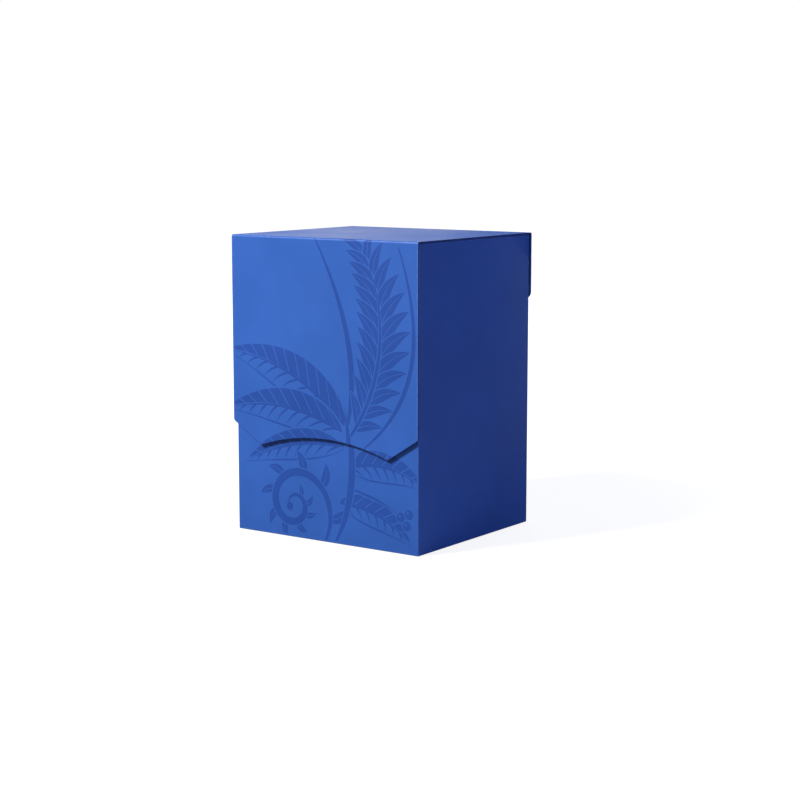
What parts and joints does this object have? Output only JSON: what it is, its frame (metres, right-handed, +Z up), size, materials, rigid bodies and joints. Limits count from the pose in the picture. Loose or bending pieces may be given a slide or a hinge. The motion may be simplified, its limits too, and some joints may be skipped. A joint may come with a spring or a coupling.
{
  "type": "card deck box",
  "caption": "Rigid box for a stack of playing or trading cards, with a fold-back lid and a long pointed front flap held by magnets.",
  "frame": {"origin": "centre of the tray's footprint, on the face that the box rests on", "axes": "+Z up; the flap's outer face looks along -Y and the hinge is on the +Y side; +X is to the right of someone who looks at the flap"},
  "size_m": [0.0762, 0.0681, 0.101],
  "materials": {
    "greyboard": "matte",
    "wrap_paper": "matte",
    "cover_sheet": "matte",
    "suede_lining": "matte",
    "nickel_magnet": "satin",
    "tinned_steel": "satin"
  },
  "bodies": {
    "root": {"base_board": "greyboard", "front_board": "greyboard", "back_board": "greyboard", "left_board": "greyboard", "right_board": "greyboard", "tray_magnet_left": "nickel_magnet", "tray_magnet_right": "nickel_magnet", "outer_wrap": "wrap_paper", "base_sheet": "wrap_paper", "base_liner": "suede_lining", "front_liner": "suede_lining", "back_liner": "suede_lining", "left_liner": "suede_lining", "right_liner": "suede_lining", "back_strip": "cover_sheet", "rear_crease": "cover_sheet"},
    "lid": {"lid_panel": "cover_sheet", "lid_board": "greyboard", "lid_lining": "suede_lining", "front_crease": "cover_sheet"},
    "flap": {"flap_face": "cover_sheet", "flap_board": "greyboard", "flap_lining": "suede_lining", "keeper_left": "tinned_steel", "keeper_right": "tinned_steel"}
  },
  "joints": [
    {"name": "lid_hinge", "type": "hinge", "parent": "root", "child": "lid", "pos_m": [0, 0.03334, 0.10067], "axis": [-1, 0, 0], "range_deg": [0, 200], "deforming": ["rear_crease"]},
    {"name": "flap_hinge", "type": "hinge", "parent": "lid", "child": "flap", "pos_m": [0, -0.03408, 0.10065], "axis": [-1, 0, 0], "range_deg": [0, 120], "deforming": ["front_crease"]}
  ]
}
